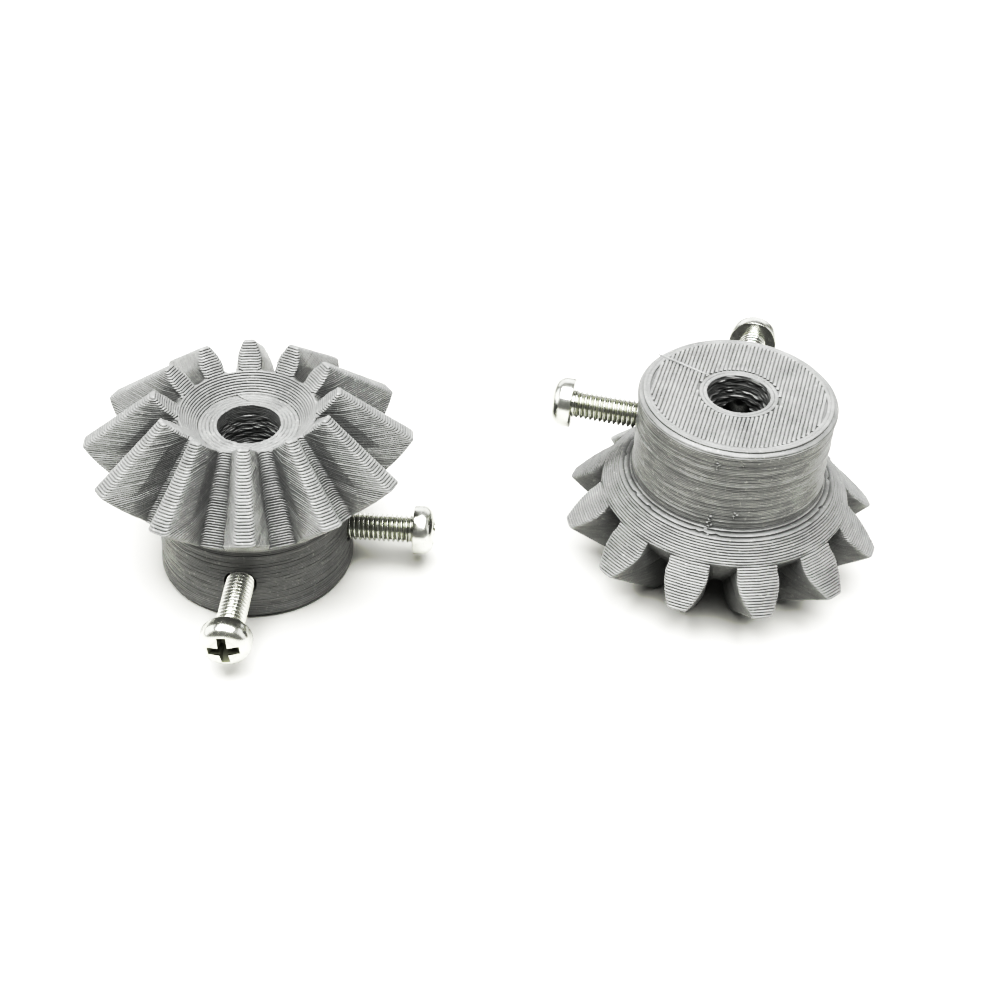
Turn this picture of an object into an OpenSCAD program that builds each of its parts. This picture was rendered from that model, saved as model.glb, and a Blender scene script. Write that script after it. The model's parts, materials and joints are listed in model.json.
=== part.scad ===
// A pair of identical 12-tooth straight bevel gears, each with a long hub, a plain
// shaft bore and two M3 pan-head machine screws that clamp the shaft from the side.
// Gear A stands on its hub. Gear B lies beside it on the ends of its teeth.
// Each gear is drawn hub down: its own origin is the centre of the hub's end face,
// and its teeth point up. Millimetres throughout.

/* [Gear teeth] */
// Number of teeth
teeth = 12; // [10:1:16]
// Module at the large (heel) end
module_mm = 2.5; // [2:0.25:3]
// Pressure angle in degrees
pressure_angle = 20; // [17:0.5:25]
// Depth of the tooth below the pitch cone at the heel
dedendum = 2.7; // [2.5:0.1:3]
// Length of the tooth along the pitch cone
face_w = 9.6; // [8:0.2:10]
// Extra thickness of each tooth at the heel, left by the printed bead
tooth_growth = 0.12; // [0:0.02:0.2]
// Angle from the first screw to the middle of the next tooth
tooth_phase = 7.5; // [0:0.5:15]

/* [Gear body] */
// Diameter of the hub
hub_d = 20; // [18:0.5:22]
// Height of the hub, from its end face to the foot of the toothed ring
hub_h = 9.7; // [9:0.1:10]
// Radius where the shallow foot of the ring meets the steeper back cone
foot_r = 11.3; // [10.8:0.1:12]
// Diameter of the shaft bore
bore_d = 6.4; // [5:0.1:8]
// Overall height, from the hub's end face to the blunt ends of the teeth
gear_h = 21.5; // [21.3:0.1:21.6]
// Radius of the flat ring at the bottom of the dish round the bore
dish_r = 5.1; // [4.6:0.1:5.6]
// Radius of the root circle at the small (toe) end
toe_root_r = 6.9; // [6.6:0.1:7.2]

/* [Screws] */
// Outside diameter of the screw thread
screw_d = 2.94; // [2.8:0.02:2.98]
// Length of the screw under its head
screw_l = 12; // [10:1:14]
// Diameter of the screw head
head_d = 5.2; // [5:0.1:6]
// Height of the screw head
head_h = 2.4; // [2:0.1:2.6]
// Height of the screws above the hub's end face
screw_z = 4.8; // [4:0.1:5.5]
// Diameter of the screw holes in the hub
screw_hole_d = 3.04; // [3.02:0.02:3.1]
// Distance from gear A's axis to the underside of its front screw's head
reach_a_front = 17.5; // [15.3:0.1:19]
// Distance from gear A's axis to the underside of its side screw's head
reach_a_side = 16.8; // [15.3:0.1:19]
// Distance from gear B's axis to the underside of its side screw's head
reach_b_side = 16.8; // [15.3:0.1:19]
// Distance from gear B's axis to the underside of its rear screw's head
reach_b_rear = 16.8; // [15.3:0.1:19]

/* [Layout] */
// Distance along X from gear A's axis to gear B's axis
gear_b_x = 49.4; // [46:0.1:60]
// Distance along Y from gear A's axis to gear B's axis
gear_b_y = 4.7; // [-10:0.1:10]
// Direction in which gear B's side screw points, in degrees from +X
gear_b_turn = 169; // [0:1:360]

/* [Hidden] */
$fn = 96;

// A mitre pair: both pitch cones open at 45 degrees, so a point that moves along
// either cone moves as far outward as it moves up or down.
pitch_r = module_mm * teeth / 2;
half = sqrt(0.5);
heel_tip_r = pitch_r + module_mm * half;
heel_root_r = pitch_r - dedendum * half;
foot_slope = 0.38;

// The back cone rises one for one from the foot of the ring to the tooth tips,
// and the apex of the pitch cone lies one pitch radius above the heel pitch circle.
foot_z = hub_h + (foot_r - hub_d / 2) * foot_slope;
back_cone_z = foot_z - foot_r;
apex_z = back_cone_z + 2 * pitch_r;
heel_tip_z = back_cone_z + heel_tip_r;
heel_root_z = back_cone_z + heel_root_r;

// The front cone is square to the pitch cone too, one face width nearer the apex.
front_cone_z = apex_z - 2 * (pitch_r - face_w * half);
face_slope = heel_tip_r / (apex_z - heel_tip_z);
toe_tip_r = face_slope * (apex_z - gear_h);
dish_z = front_cone_z + dish_r;
toe_root_z = front_cone_z + toe_root_r;

// Tooth form: an involute on the back cone laid out flat (Tredgold's method).
back_pitch_r = pitch_r / half;
back_base_r = back_pitch_r * cos(pressure_angle);
flank_steps = 6;
root_sink = 0.8;

// Involute function of a pressure angle, in degrees.
function inv(a) = tan(a) * 180 / PI - a;

// Half the angle of a tooth about the gear's axis, at distance b up the back cone.
// Below the base circle the flank runs straight down.
function half_tooth(b) =
    let (a = b > back_base_r ? acos(back_base_r / b) : 0,
         thin = 90 * half / teeth + inv(pressure_angle) - inv(a))
    thin / half + tooth_growth / (b * half) * 180 / PI;

// Radius at which a heel point passes through the level of the hub's foot, when it
// is carried along its straight line from the cone's apex.
function base_radius(r) = r * (apex_z - foot_z) / (apex_z - back_cone_z - r);

// Outline of one tooth at that level, as [radius, angle] pairs turned into points.
function polar(r, a) = [r * cos(a), r * sin(a)];
function flank_r(i) = heel_root_r - root_sink
    + (heel_tip_r + module_mm * 0.3 - heel_root_r + root_sink) * i / flank_steps;

module tooth_outline() {
    right = [for (i = [0:flank_steps]) polar(base_radius(flank_r(i)), -half_tooth(flank_r(i) / half))];
    left = [for (i = [flank_steps:-1:0]) polar(base_radius(flank_r(i)), half_tooth(flank_r(i) / half))];
    polygon(concat(right, left));
}

// Straight teeth, all running to the apex, before their ends are turned.
module tapered_teeth() {
    rise = gear_h + 1 - foot_z;
    translate([0, 0, foot_z])
        linear_extrude(height = rise, scale = 1 - rise / (apex_z - foot_z))
            for (k = [0:teeth - 1])
                rotate(tooth_phase + k * 360 / teeth) tooth_outline();
}

// The turned shape that trims the teeth: back cone, face cone, blunt toe and
// front cone.
module tooth_envelope() {
    toe_inner_r = gear_h - front_cone_z;
    rotate_extrude()
        polygon([[foot_r, foot_z], [heel_tip_r, heel_tip_z], [toe_tip_r, gear_h],
                 [toe_inner_r, gear_h], [dish_r + 0.5, dish_z + 0.5], [foot_r - 3, foot_z]]);
}

// Hub, ring foot and the cone that the teeth stand on, with the dish in its top.
module gear_body() {
    rotate_extrude()
        polygon([[0, 0], [hub_d / 2, 0], [hub_d / 2, hub_h], [foot_r, foot_z],
                 [heel_root_r, heel_root_z], [toe_root_r, toe_root_z],
                 [dish_r, dish_z], [0, dish_z]]);
}

module bevel_gear() {
    color("darkgray")
        difference() {
            union() {
                gear_body();
                intersection() {
                    tapered_teeth();
                    tooth_envelope();
                }
            }
            translate([0, 0, -1]) cylinder(h = gear_h + 2, d = bore_d);
            for (turn = [0, 90])
                rotate([0, 0, turn])
                    translate([0, 0, screw_z]) rotate([0, 90, 0]) cylinder(h = hub_d, d = screw_hole_d);
        }
}

// Cross-shaped driver recess, cut down from the top of the head.
module cross_recess() {
    wing = head_d * 0.66;
    slot = 0.9;
    depth = 1.6;
    translate([0, 0, head_h - depth]) {
        for (turn = [0, 90])
            rotate([0, 0, turn]) translate([-wing / 2, -slot / 2, 0]) cube([wing, slot, depth + 1]);
        cylinder(h = depth + 1, d = slot * 1.8);
    }
}

// Pan-head screw with its head on the XY plane and its shank hanging down.
module pan_screw() {
    tip = 0.35;
    rim_h = head_h * 0.45;
    crown_r = head_d * 0.32;
    color("silver")
        difference() {
            rotate_extrude()
                polygon([[0, -screw_l], [screw_d / 2 - tip, -screw_l], [screw_d / 2, -screw_l + tip],
                         [screw_d / 2, 0], [head_d / 2, 0], [head_d / 2, rim_h],
                         [head_d / 2 - 0.35, head_h * 0.78], [crown_r, head_h], [0, head_h]]);
            cross_recess();
        }
}

// Places its children in gear B's place: upside down, with its side screw turned.
module at_gear_b() {
    translate([gear_b_x, gear_b_y, gear_h])
        rotate([0, 0, gear_b_turn]) rotate([180, 0, 0]) children();
}

// A set screw in a gear's own frame, pointing out in one direction at one reach.
module set_screw(turn, reach) {
    rotate([0, 0, turn]) translate([reach, 0, screw_z]) rotate([0, 90, 0]) pan_screw();
}

module bevel_gear_a() { rotate([0, 0, -90]) bevel_gear(); }
module bevel_gear_b() { at_gear_b() bevel_gear(); }
module set_screw_a_front() { set_screw(-90, reach_a_front); }
module set_screw_a_side() { set_screw(0, reach_a_side); }
module set_screw_b_side() { at_gear_b() set_screw(0, reach_b_side); }
module set_screw_b_rear() { at_gear_b() set_screw(90, reach_b_rear); }

bevel_gear_a();
bevel_gear_b();
set_screw_a_front();
set_screw_a_side();
set_screw_b_side();
set_screw_b_rear();
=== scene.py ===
import json
import math
import random

import bmesh
import bpy
import numpy as np
from mathutils import Matrix, Vector


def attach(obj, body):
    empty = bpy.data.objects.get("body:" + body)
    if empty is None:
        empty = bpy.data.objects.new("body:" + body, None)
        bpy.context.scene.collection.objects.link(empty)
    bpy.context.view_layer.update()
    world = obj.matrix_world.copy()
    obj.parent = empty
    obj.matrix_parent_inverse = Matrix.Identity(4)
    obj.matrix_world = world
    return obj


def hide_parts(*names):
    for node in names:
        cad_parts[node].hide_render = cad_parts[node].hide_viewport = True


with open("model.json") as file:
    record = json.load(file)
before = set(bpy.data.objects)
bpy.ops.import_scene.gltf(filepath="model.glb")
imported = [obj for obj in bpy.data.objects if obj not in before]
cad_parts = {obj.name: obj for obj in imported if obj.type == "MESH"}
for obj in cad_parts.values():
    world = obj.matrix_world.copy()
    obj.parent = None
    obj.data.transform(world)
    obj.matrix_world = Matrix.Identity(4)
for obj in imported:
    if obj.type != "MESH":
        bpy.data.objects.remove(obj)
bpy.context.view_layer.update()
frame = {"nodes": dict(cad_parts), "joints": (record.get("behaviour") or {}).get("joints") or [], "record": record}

# The pieces are drawn in millimetres and scaled to metres when a mesh is made. The studio is in metres.
MM = 0.001
record = frame["record"]
mounts = {m["name"]: m for m in record["mounts"]}
screw_joints = {j["child"]: j for j in frame["joints"] if j["type"] == "slide"}

# ---------------------------------------------------------------- gear dimensions
TEETH = 12
SECTOR = 2 * math.pi / TEETH
TOOTH_PHASE = math.radians(7.5)
ROOT_HALF = math.sqrt(0.5)      # sine and cosine of the 45 degree cones
MODULE = 2.5
DEDENDUM = 2.7
PITCH_R = MODULE * TEETH / 2
PRESSURE_ANGLE = math.radians(20)
TOOTH_GROWTH = 0.12             # how much wider printing makes each flank
FACE_WIDTH = 9.6
HUB_R = 10.0
HUB_H = 9.7
FOOT_R = 11.3
FOOT_SLOPE = 0.38
BORE_R = 3.2
DISH_R = 5.1
TOE_ROOT_R = 6.9
GEAR_H = 21.5
SCREW_Z = 4.8
SCREW_HOLE_R = 1.66

FOOT_Z = HUB_H + (FOOT_R - HUB_R) * FOOT_SLOPE
BACK_CONE_Z = FOOT_Z - FOOT_R
APEX_Z = BACK_CONE_Z + 2 * PITCH_R
HEEL_TIP_R = PITCH_R + MODULE * ROOT_HALF
HEEL_ROOT_R = PITCH_R - DEDENDUM * ROOT_HALF
HEEL_TIP_Z = BACK_CONE_Z + HEEL_TIP_R
HEEL_ROOT_Z = BACK_CONE_Z + HEEL_ROOT_R
FRONT_CONE_Z = APEX_Z - 2 * (PITCH_R - FACE_WIDTH * ROOT_HALF)
DISH_Z = FRONT_CONE_Z + DISH_R
TOE_ROOT_Z = FRONT_CONE_Z + TOE_ROOT_R
FACE_SLOPE = HEEL_TIP_R / (APEX_Z - HEEL_TIP_Z)
BACK_PITCH_R = PITCH_R / ROOT_HALF
BACK_BASE_R = BACK_PITCH_R * math.cos(PRESSURE_ANGLE)

# ---------------------------------------------------------------- printed layers
FIRST_LAYER = 0.3
LAYER = 0.2
FACE_SINK = 0.11            # the flat faces lie this far under the crests of their beads
# Rounding of a layer: [height above its lower edge, how far the contour sits inside its widest part].
FIRST_ROUNDING = [(FACE_SINK, 0.05), (0.17, 0.02), (0.25, 0.0)]
HUB_ROUNDING = [(0.0, 0.046), (0.06, 0.0), (0.14, 0.0)]
TOOTH_ROUNDING = [(0.012, 0.05), (0.06, 0.01), (0.14, 0.01), (0.188, 0.05)]
TOP_ROUNDING = [(0.012, 0.035), (0.055, 0.0), (0.115, 0.018), (0.188, 0.095)]   # above the heels
RIM_SWELL = 0.2             # how far the layers near the bed stand out
RIM_HEIGHT = 1.7
RIM_ROUND = 0.62            # rounding of the hub's edge at the bed
RIM_ROUND_HEIGHT = 0.7

# Unevenness of the layers: [waves round the contour, size, turn from one layer to the next].
DRIFTS = [(3, 0.008, 0.05), (7, 0.004, -0.04)]
WAVES = (2, 5, 9, 16)       # waves round the outside that each layer has for itself
WAVE_SIZE = 0.003
HUB_WAVE = 0.002            # how much more the hub's layers have, on an uneven gear
BORE_WAVES = (0, 3, 8, 13)
BORE_WAVE_SIZE = 0.055
LAYER_SHIFT = 0.004         # a whole layer's error sideways
LAYER_SPREAD = 0.008        # a whole layer's error in width
HUB_SPREAD = 0.013
BULGE = 0.055               # how far some of the hub's layers stand out
BULGE_SHARE = 0.2
PIT_SHARE = 0.07            # share of the foot's surface where a layer leaves a hole
PIT_DEPTH = 0.2
PIT_BAND = 0.25             # how far down from the foot's edge the holes go

# Contour of a layer: the number of points in each of its parts.
FLANK_POINTS = 3
TOP_POINTS = 5
GAP_POINTS = 2
UNDER_POINTS = 3            # inner contour, under a tooth
INNER_GAP_POINTS = 2        # inner contour, between two teeth
OUTER_POINTS = 2 * FLANK_POINTS + TOP_POINTS + GAP_POINTS
INNER_POINTS = UNDER_POINTS + INNER_GAP_POINTS
CORNER = 0.34               # rounding of the contour's corners, seen from above
ARC_SINK = 1 - math.sqrt(0.5)   # where the middle of a rounded corner lies, as a share of its radius
CORNER_OF_HEIGHT = 0.3      # a corner's rounding is at most this share of its tooth's height
CORNER_OF_WIDTH = 0.55      # and at most this share of half its tooth's width
FOOT_OF_HEIGHT = 0.25       # a flank starts at most this share of its tooth's height up
LOWEST_TOOTH = 0.02         # a tooth lower than this isn't drawn
THINNEST_BODY = 0.12        # the body between the teeth ends where its wall is thinner than this

# Beads on the flat faces.
BEAD_PITCH = 0.405          # distance between neighbouring beads
BEAD_FILL = 0.94            # a bead's width, as a share of the pitch
BEAD_STEP = 0.55            # length of a straight bead's segments
BEAD_WIDTHS = (0.84, 1.02)  # least and greatest width along a straight bead
BEAD_LIFT = 0.009           # unevenness in height
SWAY_START = 0.012          # unevenness sideways, at its start and from point to point
SWAY = 0.009
SWAY_KEPT = 0.75            # share of a point's sway that the next one takes over
SHORTEST_BEAD = 0.1         # a bead nearer than this to the ring's edge isn't drawn
RASTER_TURN = 92.5          # direction of the end face's beads, in the gear's own frame
RASTER_GAPS = (0.92, 1.0)   # from the bore to the raster, and from the raster to the hub's edge
BORE_PERIMETERS = (0.23, 0.63)
HUB_PERIMETERS = (0.84, 0.48)
PERIMETER_WIDTH = 1.12      # widths of round beads, as shares of a usual bead's
DISH_BEAD_WIDTH = 1.13
DISH_BEADS = 5


# ================================================================ gear mesh
def involute(angle):
    return np.tan(angle) - angle


def half_tooth(r, z):
    """Half the angle of a tooth about the gear's axis, at a radius and a height."""
    back_r = 2 * PITCH_R * r / (r + APEX_Z - z) / ROOT_HALF
    angle = np.arccos(np.minimum(1.0, BACK_BASE_R / back_r))
    thin = math.pi / 2 * ROOT_HALF / TEETH + involute(PRESSURE_ANGLE) - involute(angle)
    return thin / ROOT_HALF + TOOTH_GROWTH / (back_r * ROOT_HALF)


def inner_radius(z):
    return BORE_R if z < DISH_Z else z - FRONT_CONE_Z


def root_radius(z):
    """Outer radius of the gear's body, without its teeth."""
    if z < HUB_H:
        return HUB_R
    if z < FOOT_Z:
        return HUB_R + (z - HUB_H) / FOOT_SLOPE
    if z < HEEL_ROOT_Z:
        return z - BACK_CONE_Z
    run = (HEEL_ROOT_R - TOE_ROOT_R) / (TOE_ROOT_Z - HEEL_ROOT_Z)
    return HEEL_ROOT_R - (z - HEEL_ROOT_Z) * run


def top_radius(z):
    """Radius of the tips of the teeth at a height, or of the body where it has none."""
    if z < HEEL_ROOT_Z:
        return root_radius(z)
    return min(z - BACK_CONE_Z, FACE_SLOPE * (APEX_Z - z))


def corner_radius(z):
    """Rounding of the tips of the teeth at a height: smaller where the teeth are narrow or low."""
    top = top_radius(z)
    low = max(root_radius(z), inner_radius(z))
    return min(CORNER, CORNER_OF_HEIGHT * (top - low), CORNER_OF_WIDTH * half_tooth(top, z) * top)


def outer_contour(z, inset):
    """Radii and angles of one tooth's part of the outer contour."""
    root, top = root_radius(z), top_radius(z)
    low = max(root, inner_radius(z))
    if top - root < LOWEST_TOOTH:
        steps = np.arange(OUTER_POINTS) - FLANK_POINTS - TOP_POINTS // 2
        return np.full(OUTER_POINTS, root - inset), steps * SECTOR / OUTER_POINTS
    corner = corner_radius(z)
    flank_r = np.linspace(low + min(corner, FOOT_OF_HEIGHT * (top - low)), top - corner, FLANK_POINTS)
    flank_a = half_tooth(flank_r, z) - inset / flank_r
    arc_r = top - corner * ARC_SINK
    arc_a = half_tooth(arc_r, z) - (corner + inset) * ARC_SINK / arc_r
    top_a = half_tooth(top, z) - corner / top
    gap_start = half_tooth(low, z) + (corner - inset) / low
    crown_inset = inset * np.array([1 - ARC_SINK, 1, 1, 1, 1 - ARC_SINK])
    crown_r = np.array([arc_r, top, top, top, arc_r]) - crown_inset
    radii = [flank_r, crown_r, flank_r[::-1], np.full(GAP_POINTS, root - inset)]
    angles = [-flank_a, np.array([-arc_a, -top_a, 0.0, top_a, arc_a]), flank_a[::-1],
              np.linspace(gap_start, SECTOR - gap_start, GAP_POINTS)]
    return np.concatenate(radii), np.concatenate(angles)


def inner_contour(z, inset):
    """Radii and angles of one tooth's part of the bore or the dish."""
    r = inner_radius(z)
    if z < DISH_Z:
        steps = np.arange(INNER_POINTS) - UNDER_POINTS // 2
        return np.full(INNER_POINTS, r + inset), steps * SECTOR / INNER_POINTS
    half = half_tooth(r, z) - corner_radius(z) / r
    gap = np.linspace(half, SECTOR - half, INNER_GAP_POINTS + 2)[1:-1]
    angles = np.concatenate([np.linspace(-half, half, UNDER_POINTS), gap])
    return np.full(INNER_POINTS, r + inset), angles


def placed(contour, z, wobble, waves, pits=None):
    """All teeth of a contour as XYZ points, with this layer's own small errors."""
    radii, angles = contour
    turn = TOOTH_PHASE + np.arange(TEETH) * SECTOR
    angles = (turn[:, None] + angles[None, :]).ravel()
    radii = np.tile(radii, TEETH) + sum(
        size * np.sin(count * angles + phase) for count, size, phase in wobble[waves])
    if pits is not None:
        radii -= pits
    x = radii * np.cos(angles) + wobble["shift"][0]
    y = radii * np.sin(angles) + wobble["shift"][1]
    return np.column_stack([x, y, np.full(len(x), z)])


def layer_rings(rng, uneven):
    """The rings of the gear from bottom to top: [z, level of its profile, inset, wobble, pits]."""
    edges = [0.0] + list(np.arange(FIRST_LAYER, GEAR_H + LAYER / 2, LAYER))
    rings = []
    # One phase more is drawn than there are drifts, so that a seed keeps giving the same gear.
    phases = [rng.uniform(0, 2 * math.pi) for _ in range(len(DRIFTS) + 1)]

    def waves(counts, size):
        return [(count, rng.gauss(0, size), rng.uniform(0, 2 * math.pi)) for count in counts]

    for number, (low, high) in enumerate(zip(edges[:-1], edges[1:])):
        middle = (low + high) / 2
        in_hub = middle < HUB_H
        outside = waves(WAVES, WAVE_SIZE + HUB_WAVE * uneven if in_hub else WAVE_SIZE)
        outside += [(count, size, phase + turn * number)
                    for (count, size, turn), phase in zip(DRIFTS, phases)]
        inside = waves(BORE_WAVES, BORE_WAVE_SIZE)
        wobble = {"shift": (rng.gauss(0, LAYER_SHIFT), rng.gauss(0, LAYER_SHIFT)), "outside": outside,
                  "inside": inside if middle < DISH_Z - 1 else outside}
        fat = rng.gauss(0, HUB_SPREAD * uneven if in_hub else LAYER_SPREAD)
        if in_hub and rng.random() < BULGE_SHARE * uneven:
            fat += BULGE
        # Where the foot's slope is shallow, its layers don't quite close.
        pits = [PIT_DEPTH if FOOT_Z - PIT_BAND < middle < FOOT_Z and rng.random() < PIT_SHARE else 0.0
                for _ in range(OUTER_POINTS * TEETH)]
        if number == 0:
            marks = FIRST_ROUNDING
        elif in_hub:
            marks = HUB_ROUNDING
        else:
            marks = TOOTH_ROUNDING if middle < HEEL_TIP_Z else TOP_ROUNDING
        rings += [[low + rise, middle, inset - fat, wobble, pits] for rise, inset in marks]
    return rings


def rim_swell(z):
    """How far the squashed layers near the bed stand out, less the rounding of the very edge."""
    swell = RIM_SWELL * math.sin(math.pi * min(1.0, z / RIM_HEIGHT))
    return swell - RIM_ROUND * max(0.0, 1 - z / RIM_ROUND_HEIGHT) ** 2


def printed_gear(seed, uneven):
    """Vertices in millimetres and faces of a whole printed gear, hub down.

    How uneven its hub is goes from 0 to 1."""
    rings = layer_rings(random.Random(seed), uneven)
    points, outer_at, inner_at = [], [], []
    total = 0
    for z, level, inset, wobble, pits in rings:
        outer_ring = placed(outer_contour(level, inset - rim_swell(z)), z, wobble, "outside", pits)
        inner_ring = placed(inner_contour(level, inset), z, wobble, "inside")
        for ring, starts in ((outer_ring, outer_at), (inner_ring, inner_at)):
            starts.append(total)
            total += len(ring)
            points.append(ring)
    # Up to this ring the gear is one body round its bore. Above it, each tooth stands by itself.
    closing = max(i for i, (_, level, *_) in enumerate(rings)
                  if root_radius(level) > inner_radius(level) + THINNEST_BODY)
    outer_n, inner_n = OUTER_POINTS * TEETH, INNER_POINTS * TEETH
    island = 2 * FLANK_POINTS + TOP_POINTS

    def outer(ring, tooth, i):
        return outer_at[ring] + (tooth * OUTER_POINTS + i) % outer_n

    def inner(ring, tooth, i):
        return inner_at[ring] + (tooth * INNER_POINTS + i) % inner_n

    def tooth_loop(ring, tooth):
        return [outer(ring, tooth, i) for i in range(island)] + [
            inner(ring, tooth, i) for i in reversed(range(UNDER_POINTS))]

    faces = []
    for ring in range(closing):
        for start, count in ((outer_at, outer_n), (inner_at, inner_n)):
            low, high = start[ring], start[ring + 1]
            faces += [(low + i, low + (i + 1) % count, high + (i + 1) % count, high + i)
                      for i in range(count)]
    for tooth in range(TEETH):
        faces.append([outer(0, tooth, i) for i in range(OUTER_POINTS + 1)]
                     + [inner(0, tooth, i) for i in reversed(range(INNER_POINTS + 1))])
        faces.append([outer(closing, tooth, i) for i in range(island - 1, OUTER_POINTS + 1)]
                     + [inner(closing, tooth, i)
                        for i in reversed(range(UNDER_POINTS - 1, INNER_POINTS + 1))])
        for ring in range(closing, len(rings) - 1):
            low, high = tooth_loop(ring, tooth), tooth_loop(ring + 1, tooth)
            count = len(low)
            faces += [(low[i], low[(i + 1) % count], high[(i + 1) % count], high[i])
                      for i in range(count)]
        faces.append(tooth_loop(len(rings) - 1, tooth))
    return np.vstack(points), faces


# ================================================================ small solids
NEARLY_UP = Vector((0.13, 0.21, 0.97))     # a direction that no strand runs along


def swept_bead(path, profile, closed):
    """Vertices and faces of a bead: profile points (across, up) carried along a path in XY.

    Each path row holds x, y, the direction across (x, y), a width factor and a lift."""
    n, m = len(path), len(profile)
    points = []
    for x, y, ax, ay, wide, lift in path:
        for across, up in profile:
            points.append((x + ax * across * wide, y + ay * across * wide, up + lift))
    faces = []
    for i in range(n if closed else n - 1):
        j = (i + 1) % n
        faces += [(i * m + k, i * m + (k + 1) % m, j * m + (k + 1) % m, j * m + k) for k in range(m)]
    if not closed:
        faces += [list(range(m)), list(range((n - 1) * m, n * m))]
    return np.array(points), faces


def bead_profile(level, side):
    """Cross-section of a flattened bead whose crest is at a level; side is -1 below, 1 above."""
    half = BEAD_PITCH / 2 * BEAD_FILL
    edge = [(-1.0, 1.5), (-1.0, 0.7), (-0.82, 0.22), (-0.45, 0.0)]
    marks = edge + [(-across, depth) for across, depth in reversed(edge)]
    return [(half * across, level - side * depth * FACE_SINK) for across, depth in marks]


def straight_beads(rng, profile, direction, r_in, r_out):
    """Parallel beads that fill a ring between two radii."""
    along = np.array([math.cos(direction), math.sin(direction)])
    across = np.array([-along[1], along[0]])
    solids = []
    beads_each_side = int(r_out / BEAD_PITCH)
    for number in range(-beads_each_side, beads_each_side + 1):
        offset = number * BEAD_PITCH
        if abs(offset) > r_out - SHORTEST_BEAD:
            continue
        outer = math.sqrt(r_out ** 2 - offset ** 2)
        spans = [(-outer, outer)]
        if abs(offset) < r_in:
            inner = math.sqrt(r_in ** 2 - offset ** 2)
            spans = [(-outer, -inner), (inner, outer)]
        for start, end in spans:
            steps = max(2, int((end - start) / BEAD_STEP))
            path = []
            sway = rng.gauss(0, SWAY_START)
            for t in np.linspace(start, end, steps + 1):
                sway = SWAY_KEPT * sway + rng.gauss(0, SWAY)
                x, y = along * t + across * (offset + sway)
                path.append((x, y, *across, rng.uniform(*BEAD_WIDTHS), rng.gauss(0, BEAD_LIFT)))
            solids.append(swept_bead(path, profile, False))
    return solids


def round_bead(rng, profile, r, width, steps=112, rough=1.0):
    """One bead that runs round the axis; rough scales its unevenness."""
    path = []
    for i in range(steps):
        a = 2 * math.pi * i / steps
        size = r + 0.008 * math.sin(3 * a + r) + rng.gauss(0, 0.003 * rough)
        path.append((size * math.cos(a), size * math.sin(a), math.cos(a), math.sin(a),
                     width * rng.uniform(1 - 0.05 * rough, 1.03), rng.gauss(0, 0.004 * rough)))
    return swept_bead(path, profile, True)


def face_beads(rng, direction):
    """The raster and the perimeters of the hub's end face."""
    profile = bead_profile(0.0, -1)
    solids = straight_beads(rng, profile, direction, BORE_R + RASTER_GAPS[0], HUB_R - RASTER_GAPS[1])
    perimeters = [BORE_R + gap for gap in BORE_PERIMETERS] + [HUB_R - gap for gap in HUB_PERIMETERS]
    return solids + [round_bead(rng, profile, r, PERIMETER_WIDTH) for r in perimeters]


def dish_beads(rng):
    """The rings of the flat floor of the dish."""
    floor = FIRST_LAYER + math.floor((DISH_Z - FIRST_LAYER) / LAYER) * LAYER
    profile = bead_profile(floor + FACE_SINK, 1)
    spacing = (DISH_R - BORE_R) / DISH_BEADS
    return [round_bead(rng, profile, BORE_R + spacing * (i + 0.5), DISH_BEAD_WIDTH, steps=90, rough=4.0)
            for i in range(DISH_BEADS)]


def strand(points, radius):
    """A thin string of plastic through points in space, pointed at both ends."""
    points = [Vector(p) for p in points]
    last, sides, end_share = len(points) - 1, 8, 0.35
    made = []
    for i, p in enumerate(points):
        ahead = (points[min(i + 1, last)] - points[max(i - 1, 0)]).normalized()
        across = ahead.cross(NEARLY_UP).normalized()
        up = across.cross(ahead)
        size = radius * (end_share if i in (0, last) else 1.0)
        for k in range(sides):
            a = 2 * math.pi * k / sides
            made.append(p + (across * math.cos(a) + up * math.sin(a)) * size)
    faces = [list(range(sides)), list(range(last * sides, (last + 1) * sides))]
    for i in range(last):
        here, there = i * sides, (i + 1) * sides
        faces += [(here + k, here + (k + 1) % sides, there + (k + 1) % sides, there + k)
                  for k in range(sides)]
    return np.array(made), faces


def on_axis(r, turn, z):
    """A point in a gear's own frame, from its radius, its turn in degrees and its height."""
    return r * math.cos(math.radians(turn)), r * math.sin(math.radians(turn)), z


def seam(rng, turn, low, high, share, size):
    """Lumps in a column up the outside of a gear, where its layers start and end."""
    lumps = []
    for z in np.arange(low, high, LAYER):
        if rng.random() < share:
            place = on_axis(root_radius(z) + size * 0.2, turn + rng.gauss(0, 0.6), z + LAYER / 2)
            sizes = (size * rng.uniform(0.8, 1.6), size * rng.uniform(0.8, 1.6), size * 0.7)
            lumps.append(blob(place, sizes, rng))
    return lumps


def blob(centre, sizes, rng):
    """A small lump of plastic: an uneven ball, squashed along its own axes."""
    bm = bmesh.new()
    bmesh.ops.create_icosphere(bm, subdivisions=2, radius=1.0)
    points = np.array([v.co for v in bm.verts])
    faces = [[v.index for v in f.verts] for f in bm.faces]
    bm.free()
    points *= 1 + np.array([[rng.gauss(0, 0.06)] for _ in points])
    return points * np.array(sizes) + np.array(centre), faces


def joined(solids):
    """Several closed solids as one list of vertices and one of faces."""
    points, faces, start = [], [], 0
    for solid_points, solid_faces in solids:
        points.append(solid_points)
        faces += [[start + i for i in f] for f in solid_faces]
        start += len(solid_points)
    return np.vstack(points), faces


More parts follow.
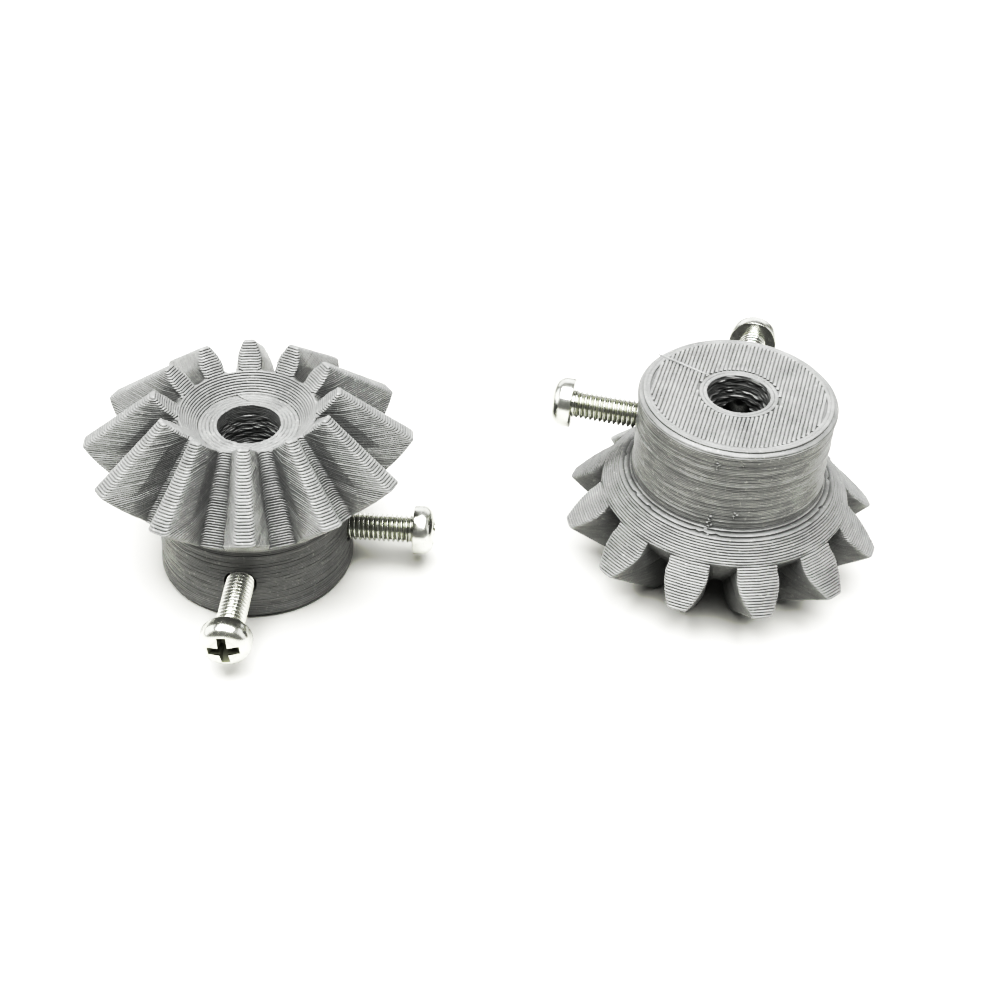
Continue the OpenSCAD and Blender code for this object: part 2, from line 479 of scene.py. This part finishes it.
def make_object(name, points, faces):
    """A mesh object from millimetre points, with its normals facing outward."""
    mesh = bpy.data.meshes.new(name)
    mesh.from_pydata((np.asarray(points) * MM).tolist(), [], faces)
    bm = bmesh.new()
    bm.from_mesh(mesh)
    bmesh.ops.delete(bm, geom=[v for v in bm.verts if not v.link_faces], context="VERTS")
    bmesh.ops.recalc_face_normals(bm, faces=bm.faces)
    bm.to_mesh(mesh)
    bm.free()
    obj = bpy.data.objects.new(name, mesh)
    bpy.context.scene.collection.objects.link(obj)
    return obj


def cut(obj, cutter):
    """Cuts one object's shape out of another's, and removes the cutter."""
    change = obj.modifiers.new("cut", "BOOLEAN")
    change.operation = "DIFFERENCE"
    change.object = cutter
    change.solver = "MANIFOLD"
    apply_modifiers(obj)
    mesh = cutter.data
    bpy.data.objects.remove(cutter)
    bpy.data.meshes.remove(mesh)


def apply_modifiers(obj):
    """Replaces an object's mesh by what its modifiers make of it."""
    graph = bpy.context.evaluated_depsgraph_get()
    made = bpy.data.meshes.new_from_object(obj.evaluated_get(graph))
    old = obj.data
    obj.modifiers.clear()
    obj.data = made
    made.name = old.name
    bpy.data.meshes.remove(old)


def join_objects(target, others):
    """Joins other objects into the first one."""
    with bpy.context.temp_override(active_object=target, selected_editable_objects=[target, *others]):
        bpy.ops.object.join()


def shade(obj, angle):
    """Smooth shading, with edges sharper than an angle kept crisp."""
    mesh = obj.data
    mesh.shade_smooth()
    mesh.set_sharp_from_angle(angle=math.radians(angle))


GROOVE_GAIN = 1.6           # how fast a groove's mark grows with its sharpness
HOLLOW_MARK = 0.8           # the mark of a whole hollow, which the materials paint as shade
FACE_BAND = (0.03, 0.2)     # heights between which a face lies between the end face's beads


def mark_grooves(obj, hollow):
    """Stores on each corner where it lies between a ridge, 0, and the bottom of a groove, 1; the materials paint
    shade and highlight by it.

    The faces in one hollow, [least and greatest radius, least and greatest height], get HOLLOW_MARK."""
    mesh = obj.data
    points = np.empty(len(mesh.vertices) * 3)
    mesh.vertices.foreach_get("co", points)
    points = points.reshape(-1, 3)
    normals = np.empty(len(points) * 3)
    mesh.vertex_normals.foreach_get("vector", normals)
    normals = normals.reshape(-1, 3)
    ends = np.empty(len(mesh.edges) * 2, int)
    mesh.edges.foreach_get("vertices", ends)
    a, b = ends.reshape(-1, 2).T
    along = points[b] - points[a]
    along /= np.maximum(np.linalg.norm(along, axis=1), 1e-9)[:, None]
    rise, count = np.zeros(len(points)), np.zeros(len(points))
    np.add.at(rise, a, np.einsum("ij,ij->i", along, normals[a]))
    np.add.at(rise, b, -np.einsum("ij,ij->i", along, normals[b]))
    np.add.at(count, a, 1)
    np.add.at(count, b, 1)
    depth = np.clip(0.5 + rise / np.maximum(count, 1) * GROOVE_GAIN, 0, 1)
    corners = np.empty(len(mesh.loops), int)
    mesh.loops.foreach_get("vertex_index", corners)
    depth = depth[corners]
    centres = np.empty(len(mesh.polygons) * 3)
    mesh.polygons.foreach_get("center", centres)
    centres = centres.reshape(-1, 3) / MM
    sides = np.empty(len(mesh.polygons), int)
    mesh.polygons.foreach_get("loop_total", sides)
    radius, height = np.hypot(centres[:, 0], centres[:, 1]), centres[:, 2]
    r_low, r_high, z_low, z_high = hollow
    within = (radius > r_low) & (radius < r_high) & (height > z_low) & (height < z_high)
    depth[np.repeat(within, sides)] = HOLLOW_MARK
    mesh.attributes.new("groove", "FLOAT", "CORNER").data.foreach_set("value", depth.astype(np.float32))


# ================================================================ turned solids
def turned(profile, steps):
    """Vertices and faces of a closed solid of revolution about Z: [radius, z] from axis to axis."""
    points = [(0, 0, profile[0][1])]
    for r, z in profile[1:-1]:
        points += [(r * math.cos(2 * math.pi * i / steps), r * math.sin(2 * math.pi * i / steps), z)
                   for i in range(steps)]
    points.append((0, 0, profile[-1][1]))
    rows = len(profile) - 2
    last = len(points) - 1
    faces = [(0, 1 + (i + 1) % steps, 1 + i) for i in range(steps)]
    for row in range(rows - 1):
        low, high = 1 + row * steps, 1 + (row + 1) * steps
        faces += [(low + i, low + (i + 1) % steps, high + (i + 1) % steps, high + i) for i in range(steps)]
    top = 1 + (rows - 1) * steps
    faces += [(last, top + i, top + (i + 1) % steps) for i in range(steps)]
    return np.array(points, float), faces


SCREW_L = 12.0
THREAD_PITCH = 0.5
THREAD_R = 1.47
THREAD_ROOT_R = 1.17
TIP_CHAMFER = 0.42
TIP_SLOPE = 1.1
RUNOUT = 0.5            # length under the head where the thread gets shallow
RUNOUT_DEPTH = 0.16
SHANK_IN_HEAD = 0.3
HEAD_R = 2.6
HEAD_H = 2.4
UNDER_BEVEL = 0.16      # rounding of the head's lower edge
RIM_H = 0.95            # height of the head's upright rim
CROWN_RISE = 0.25       # rise of the dome's flat middle
SHOULDER_R = 1.25       # how far the shoulder of the dome reaches inward
RECESS_WING = 0.66 * 2 * HEAD_R     # from the end of a wing to the end of the one opposite
RECESS_SLOT = 0.9
RECESS_DEPTH = 1.6
RECESS_BAND = (0.5, HEAD_H - 0.42)  # heights between which a face belongs to the recess


def screw_shank():
    """The threaded shank, from its tip up into the head, with a right-hand thread."""
    rows_per_turn, columns = 10, 48
    rows = int(SCREW_L / THREAD_PITCH * rows_per_turn)
    points = []
    for row in range(rows + 1):
        z = -SCREW_L + row * THREAD_PITCH / rows_per_turn
        from_tip, from_head = z + SCREW_L, -z
        limit = min(THREAD_R, THREAD_R - TIP_CHAMFER + from_tip * TIP_SLOPE)
        for column in range(columns):
            turn = column / columns
            ridge = 0.5 - 0.5 * math.cos(2 * math.pi * (z / THREAD_PITCH - turn))
            r = THREAD_ROOT_R + (THREAD_R - THREAD_ROOT_R) * ridge
            if from_head < RUNOUT:
                r = max(r, THREAD_ROOT_R + RUNOUT_DEPTH)
            r = min(r, limit)
            points.append((r * math.cos(2 * math.pi * turn), r * math.sin(2 * math.pi * turn), z))
    faces = []
    for row in range(rows):
        low, high = row * columns, (row + 1) * columns
        faces += [(low + i, low + (i + 1) % columns, high + (i + 1) % columns, high + i)
                  for i in range(columns)]
    # The shank ends inside the head.
    crown = len(points)
    points += [(THREAD_ROOT_R * math.cos(2 * math.pi * i / columns),
                THREAD_ROOT_R * math.sin(2 * math.pi * i / columns), SHANK_IN_HEAD) for i in range(columns)]
    low = rows * columns
    faces += [(low + i, low + (i + 1) % columns, crown + (i + 1) % columns, crown + i)
              for i in range(columns)]
    faces.append(list(range(columns)))
    faces.append(list(range(crown, crown + columns)))
    return np.array(points, float), faces


def pan_head_profile():
    """Outline of the pan head, from its underside up and over its dome."""
    profile = [(0, 0), (HEAD_R - UNDER_BEVEL, 0.0), (HEAD_R - 0.05, 0.05), (HEAD_R, UNDER_BEVEL),
               (HEAD_R, RIM_H)]
    shoulder_h = HEAD_H - CROWN_RISE - RIM_H
    steps = 8
    for step in range(1, steps):
        a = math.pi / 2 * step / steps
        profile.append((HEAD_R - SHOULDER_R * (1 - math.cos(a)), RIM_H + shoulder_h * math.sin(a)))
    crown = HEAD_R - SHOULDER_R
    profile += [(crown * f, HEAD_H - CROWN_RISE * f * f) for f in (0.98, 0.75, 0.5, 0.25)]
    return profile + [(0, HEAD_H)]


def recess_cutter():
    """The cross recess: two tapered wings, crossed."""
    solids = []
    # Height, and the wings' length and width as shares of RECESS_WING and RECESS_SLOT.
    levels = ((HEAD_H - RECESS_DEPTH, 0.34, 0.62), (HEAD_H - CROWN_RISE, 0.93, 0.95),
              (HEAD_H + 0.6, 1.22, 1.1))
    for turn in (0, math.pi / 2):
        corners = []
        for z, length, width in levels:
            for sx, sy in ((-1, -1), (1, -1), (1, 1), (-1, 1)):
                x, y = sx * RECESS_WING / 2 * length, sy * RECESS_SLOT / 2 * width
                corners.append((x * math.cos(turn) - y * math.sin(turn),
                                x * math.sin(turn) + y * math.cos(turn), z))
        faces = [(3, 2, 1, 0), (8, 9, 10, 11)]
        for row in (0, 4):
            faces += [(row + i, row + (i + 1) % 4, row + 4 + (i + 1) % 4, row + 4 + i) for i in range(4)]
        solids.append((np.array(corners), faces))
    return solids


def make_screw(name, spin):
    """A pan-head screw in its own frame: underside of the head at z 0, dome up."""
    head = make_object(name, *turned(pan_head_profile(), 56))
    for wing in recess_cutter():
        cut(head, make_object("recess", *wing))
    shade(head, 28)
    shank = make_object(name + "_shank", *screw_shank())
    shade(shank, 80)
    join_objects(head, [shank])
    # The thread's roots and the recess get the mark that the steel paints as shade.
    mark_grooves(head, (0, RECESS_WING / 2, *RECESS_BAND))
    head.data.transform(Matrix.Rotation(math.radians(spin), 4, "Z"))
    return head


# ================================================================ materials
class Nodes:
    """Short calls for building a material's node tree."""

    def __init__(self, name):
        self.material = bpy.data.materials.new(name)
        self.material.use_nodes = True
        self.tree = self.material.node_tree
        self.shader = self.tree.nodes["Principled BSDF"]
        self.place = self.add("ShaderNodeTexCoord").outputs["Object"]

    def add(self, kind, **settings):
        node = self.tree.nodes.new(kind)
        for key, value in settings.items():
            setattr(node, key, value)
        return node

    def link(self, output, target):
        self.tree.links.new(output, target)

    def scaled(self, scale):
        mapping = self.add("ShaderNodeMapping")
        mapping.inputs["Scale"].default_value = scale
        self.link(self.place, mapping.inputs["Vector"])
        return mapping.outputs["Vector"]

    def noise(self, scale, detail=3.0, rough=0.55, stretch=(1, 1, 1)):
        node = self.add("ShaderNodeTexNoise")
        node.inputs["Scale"].default_value = scale
        node.inputs["Detail"].default_value = detail
        node.inputs["Roughness"].default_value = rough
        self.link(self.scaled(stretch), node.inputs["Vector"])
        return node.outputs["Fac"]

    def ramp(self, source, stops):
        node = self.add("ShaderNodeValToRGB")
        band = node.color_ramp
        while len(band.elements) < len(stops):
            band.elements.new(0.5)
        for element, (position, color) in zip(band.elements, stops):
            element.position = position
            element.color = (*color, 1) if hasattr(color, "__len__") else (color, color, color, 1)
        self.link(source, node.inputs["Fac"])
        return node.outputs["Color"]

    def mix(self, kind, factor, a, b):
        node = self.add("ShaderNodeMix", data_type="RGBA", blend_type=kind)
        for value, target in ((factor, node.inputs[0]), (a, node.inputs[6]), (b, node.inputs[7])):
            if hasattr(value, "is_output"):
                self.link(value, target)
            elif hasattr(value, "__len__"):
                target.default_value = (*value, 1)
            else:
                target.default_value = value
        return node.outputs[2]

    def bump(self, height, strength, distance, under=None):
        node = self.add("ShaderNodeBump")
        node.inputs["Strength"].default_value = strength
        node.inputs["Distance"].default_value = distance
        self.link(height, node.inputs["Height"])
        if under is not None:
            self.link(under, node.inputs["Normal"])
        return node.outputs["Normal"]

    def finish(self, color=None, roughness=None, normal=None, **constants):
        for value, key in ((color, "Base Color"), (roughness, "Roughness"), (normal, "Normal")):
            if value is not None:
                self.link(value, self.shader.inputs[key])
        for key, value in constants.items():
            self.shader.inputs[key.replace("_", " ")].default_value = value
        return self.material


def plastic_material(name):
    """Satin grey filament: cloudy colour, streaks along the layers, painted glints as small light specks, painted
    shade in the grooves and painted highlight on the crests.
    """
    n = Nodes(name)
    cloud = n.noise(260, 3)
    streak = n.noise(420, 3, 0.6, (1, 1, 7))
    speck = n.noise(2600, 2, 0.6)
    base = n.ramp(cloud, [(0.3, (0.27, 0.272, 0.268)), (0.7, (0.33, 0.332, 0.326))])
    lines = n.ramp(streak, [(0.35, 0.80), (0.62, 1.0)])
    base = n.mix("MULTIPLY", 0.8, base, lines)
    # Small light specks mixed into the colour: painted glints.
    marks = n.ramp(speck, [(0.60, 0.0), (0.78, 1.0)])
    base = n.mix("MIX", marks, base, (0.42, 0.42, 0.41))
    groove = n.add("ShaderNodeAttribute", attribute_name="groove").outputs["Fac"]
    # Painted shade in the grooves between layers and between beads, and painted highlight on the crests, by the
    # groove mark.
    painted_shade_and_highlight = n.ramp(groove, [(0.1, 1.0), (0.42, 0.86), (0.56, 0.78), (0.95, 0.50)])
    base = n.mix("MULTIPLY", 1.0, base, painted_shade_and_highlight)
    gloss = n.ramp(n.noise(900, 3, 0.6, (1, 1, 3)), [(0.3, 0.28), (0.7, 0.44)])
    fine = n.bump(n.noise(3200, 2, 0.5), 0.5, 0.00006)
    normal = n.bump(n.noise(520, 3, 0.5, (1, 1, 4)), 0.35, 0.00014, fine)
    return n.finish(base, gloss, normal, IOR=1.47)


def steel_material(name):
    """Bright plated steel with faint marks from handling, and painted shade in the thread's roots and in the
    recess.
    """
    n = Nodes(name)
    tint = n.ramp(n.noise(700, 3), [(0.3, (0.52, 0.525, 0.49)), (0.7, (0.64, 0.645, 0.62))])
    groove = n.add("ShaderNodeAttribute", attribute_name="groove").outputs["Fac"]
    # Painted shade in the thread's roots and in the cross recess, by the groove mark.
    tint = n.mix("MULTIPLY", 1.0, tint, n.ramp(groove, [(0.5, 1.0), (0.8, (0.46, 0.466, 0.41))]))
    gloss = n.ramp(n.noise(1800, 4, 0.6), [(0.3, 0.16), (0.72, 0.29)])
    gloss = n.mix("MIX", n.ramp(groove, [(0.6, 0.0), (0.8, 1.0)]), gloss, (0.7, 0.7, 0.7))
    normal = n.bump(n.noise(2400, 3, 0.6), 0.14, 0.00003)
    return n.finish(tint, gloss, normal, Metallic=1.0)


def floor_material(name):
    """White paper, slightly warm."""
    n = Nodes(name)
    tint = n.ramp(n.noise(30, 3), [(0.3, (0.81, 0.808, 0.78)), (0.7, (0.84, 0.838, 0.81))])
    normal = n.bump(n.noise(900, 3), 0.08, 0.0001)
    return n.finish(tint, None, normal, Roughness=0.8)


# ================================================================ the object
def axis_frame(origin, outward, across):
    """A matrix whose Z runs outward and whose X runs near another direction."""
    z = Vector(outward).normalized()
    x = Vector(across)
    x = (x - z * x.dot(z)).normalized()
    y = z.cross(x)
    m = Matrix((x, y, z)).transposed().to_4x4()
    m.translation = Vector(origin)
    return m


def screw_outward(body):
    return -Vector(screw_joints[body]["axis"]).normalized()


# Strands are lists of [radius, turn, height] with a radius of their own. Seams are
# [turn, lowest and highest z, share of the layers that have a lump, size of the lumps].
GEARS = [
    {"name": "printed_gear_a", "node": "bevel_gear_a", "body": "gear_a", "seed": 11, "uneven": 0.5,
     "bore": "shaft_bore_a", "end": "hub_end_a", "first_screw": "screw_a_front",
     "strands": [([(5.2, 203, 17.74), (4.6, 199, 17.66), (3.9, 190, 17.62)], 0.13)],
     "seams": [(-102.5, HEEL_ROOT_Z, TOE_ROOT_Z, 0.2, 0.17), (-103.0, 0.5, HUB_H, 0.1, 0.12)]},
    {"name": "printed_gear_b", "node": "bevel_gear_b", "body": "gear_b", "seed": 23, "uneven": 1.0,
     "bore": "shaft_bore_b", "end": "hub_end_b", "first_screw": "screw_b_side",
     "strands": [([(10.1, 26.8, 0.03), (8.4, 27.6, 0.0), (6.2, 29.5, 0.02), (3.9, 35.0, 0.02)], 0.17)],
     "seams": [(-101.0, 0.4, 2.0, 0.6, 0.14), (-101.0, 7.4, 8.4, 0.6, 0.14),
               (-87.0, 1.0, 2.4, 0.8, 0.15), (-87.0, 8.2, 10.2, 0.8, 0.18)]},
]
SCREWS = [
    {"name": "screw_a_front", "node": "set_screw_a_front", "body": "screw_a_front", "spin": 6.0},
    {"name": "screw_a_side", "node": "set_screw_a_side", "body": "screw_a_side", "spin": 30.0},
    {"name": "screw_b_side", "node": "set_screw_b_side", "body": "screw_b_side", "spin": 20.0},
    {"name": "screw_b_rear", "node": "set_screw_b_rear", "body": "screw_b_rear", "spin": 50.0},
]


def hole_cutter(turn):
    """A radial cylinder from the bore out past the hub, at one turn about the gear's axis."""
    start, end = BORE_R - 1.2, HUB_R + 2
    profile = [(0, start), (SCREW_HOLE_R, start), (SCREW_HOLE_R, end), (0, end)]
    cutter = make_object("hole", *turned(profile, 40))
    lift = Matrix.Translation((0, 0, SCREW_Z * MM))
    cutter.data.transform(Matrix.Rotation(turn, 4, "Z") @ lift @ Matrix.Rotation(math.pi / 2, 4, "Y"))
    return cutter


def build_gear(spec, material):
    rng = random.Random(spec["seed"] + 100)
    obj = make_object(spec["name"], *printed_gear(spec["seed"], spec["uneven"]))
    for turn in (0, math.pi / 2):
        cut(obj, hole_cutter(turn))
    extras = face_beads(rng, math.radians(RASTER_TURN)) + dish_beads(rng)
    for spot in spec["seams"]:
        extras += seam(rng, *spot)
    extras += [strand([on_axis(*p) for p in points], radius) for points, radius in spec["strands"]]
    beads = make_object("beads", *joined(extras))
    shade(obj, 80)
    shade(beads, 60)
    join_objects(obj, [beads])
    # The grooves, and the hollows between the end face's beads, get the mark that the plastic paints as shade.
    mark_grooves(obj, (BORE_R + 0.1, HUB_R - 0.1, *FACE_BAND))
    upward = -Vector(mounts[spec["end"]]["axis"])
    obj.matrix_world = axis_frame(mounts[spec["bore"]]["pos_m"], upward, screw_outward(spec["first_screw"]))
    dress(obj, spec, material)


def build_screw(spec, material):
    obj = make_screw(spec["name"], spec["spin"])
    # The CAD screw's box along its own axes gives its centre line and where its head ends.
    own = axis_frame((0, 0, 0), screw_outward(spec["body"]), (0, 0, 1))
    seen = own.inverted()
    corners = np.array([seen @ v.co for v in frame["nodes"][spec["node"]].data.vertices])
    low, high = corners.min(axis=0), corners.max(axis=0)
    centre = (low + high) / 2
    obj.matrix_world = own @ Matrix.Translation((centre[0], centre[1], high[2] - HEAD_H * MM))
    dress(obj, spec, material)


def dress(obj, spec, material):
    """Gives a piece its material and its place in the frame."""
    obj.data.materials.clear()
    obj.data.materials.append(material)
    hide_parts(spec["node"])
    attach(obj, spec["body"])


plastic = plastic_material("grey_filament")
steel = steel_material("plated_steel")
for gear in GEARS:
    build_gear(gear, plastic)
for screw in SCREWS:
    build_screw(screw, steel)


# ================================================================ studio
FLOOR_R = 0.32
FLOOR_STEPS = 96
AMBIENT = 0.06          # light from all around
MIRRORED = 0.42         # how bright the studio's walls look in shiny surfaces
BACKDROP = 1.3          # how bright the studio looks behind the table


def make_floor():
    """A round white table top, small enough to be evenly lit out to its edge."""
    turns = [2 * math.pi * i / FLOOR_STEPS for i in range(FLOOR_STEPS)]
    mesh = bpy.data.meshes.new("floor")
    mesh.from_pydata([(FLOOR_R * math.cos(a), FLOOR_R * math.sin(a), 0) for a in turns], [],
                     [range(FLOOR_STEPS)])
    floor = bpy.data.objects.new("floor", mesh)
    bpy.context.scene.collection.objects.link(floor)
    floor.data.materials.append(floor_material("white_sweep"))


def area_light(name, location, target, size, power):
    """A white panel that lights the object and isn't seen itself: sizes in metres, power in watts."""
    data = bpy.data.lights.new(name, "AREA")
    data.shape = "RECTANGLE"
    data.size, data.size_y = size
    data.energy = power
    light = bpy.data.objects.new(name, data)
    light.location = location
    light.visible_camera = False
    light.rotation_mode = "QUATERNION"
    light.rotation_quaternion = (Vector(target) - Vector(location)).to_track_quat("-Z", "Y")
    bpy.context.scene.collection.objects.link(light)


def make_camera():
    """The viewpoint: it looks at a point between the gears, from above the front."""
    target = Vector((25.8, -1.5, 10.75)) * MM
    distance = 168.1 * MM
    azimuth, elevation, roll = math.radians(0.888), math.radians(39.661), math.radians(2.787)
    back = Vector((math.sin(azimuth) * math.cos(elevation), -math.cos(azimuth) * math.cos(elevation),
                   math.sin(elevation)))
    data = bpy.data.cameras.new("camera")
    data.sensor_width = 36.0
    data.lens = 58.77
    data.clip_start, data.clip_end = 0.005, 20.0
    camera = bpy.data.objects.new("camera", data)
    camera.rotation_mode = "QUATERNION"
    camera.location = target + back * distance
    look = (-back).to_track_quat("-Z", "Y")
    camera.rotation_quaternion = look @ Matrix.Rotation(roll, 3, "Z").to_quaternion()
    bpy.context.scene.collection.objects.link(camera)
    bpy.context.scene.camera = camera


make_camera()
make_floor()
area_light("overhead", (0.0, -0.09, 0.55), (0.02, 0.0, 0.0), (0.62, 0.52), 7.6)
area_light("left_wall", (-0.36, 0.02, 0.17), (0.02, 0.0, 0.03), (0.45, 0.30), 0.56)
area_light("right_wall", (0.42, 0.02, 0.17), (0.02, 0.0, 0.03), (0.45, 0.30), 0.36)
area_light("back_wall", (0.02, 0.45, 0.22), (0.02, 0.0, 0.05), (0.80, 0.32), 0.8)


def make_surroundings():
    """A white studio: dim as a light, paler in reflections and white behind the table."""
    world = bpy.data.worlds.new("studio")
    world.use_nodes = True
    nodes, links = world.node_tree.nodes, world.node_tree.links
    ray = nodes.new("ShaderNodeLightPath")
    shown = nodes["Background"]
    shown.inputs["Strength"].default_value = AMBIENT
    shown.inputs["Color"].default_value = (1, 1, 1, 1)
    for kind, strength in (("Is Glossy Ray", MIRRORED), ("Is Camera Ray", BACKDROP)):
        other = nodes.new("ShaderNodeBackground")
        other.inputs["Strength"].default_value = strength
        other.inputs["Color"].default_value = (1, 1, 1, 1)
        either = nodes.new("ShaderNodeMixShader")
        links.new(ray.outputs[kind], either.inputs[0])
        links.new(shown.outputs[0], either.inputs[1])
        links.new(other.outputs[0], either.inputs[2])
        shown = either
    links.new(shown.outputs[0], nodes["World Output"].inputs["Surface"])
    bpy.context.scene.world = world


make_surroundings()

# The tone of a bright catalogue picture, [level, level shown]: deep shadows and a white floor.
TONE = [(0.055, 0.010), (0.13, 0.042), (0.22, 0.11), (0.30, 0.225), (0.37, 0.395), (0.44, 0.50),
        (0.75, 0.85)]
view = bpy.context.scene.view_settings
view.view_transform = "Standard"
view.use_curve_mapping = True
for level, shown in TONE:
    view.curve_mapping.curves[3].points.new(level, shown)
view.curve_mapping.update()
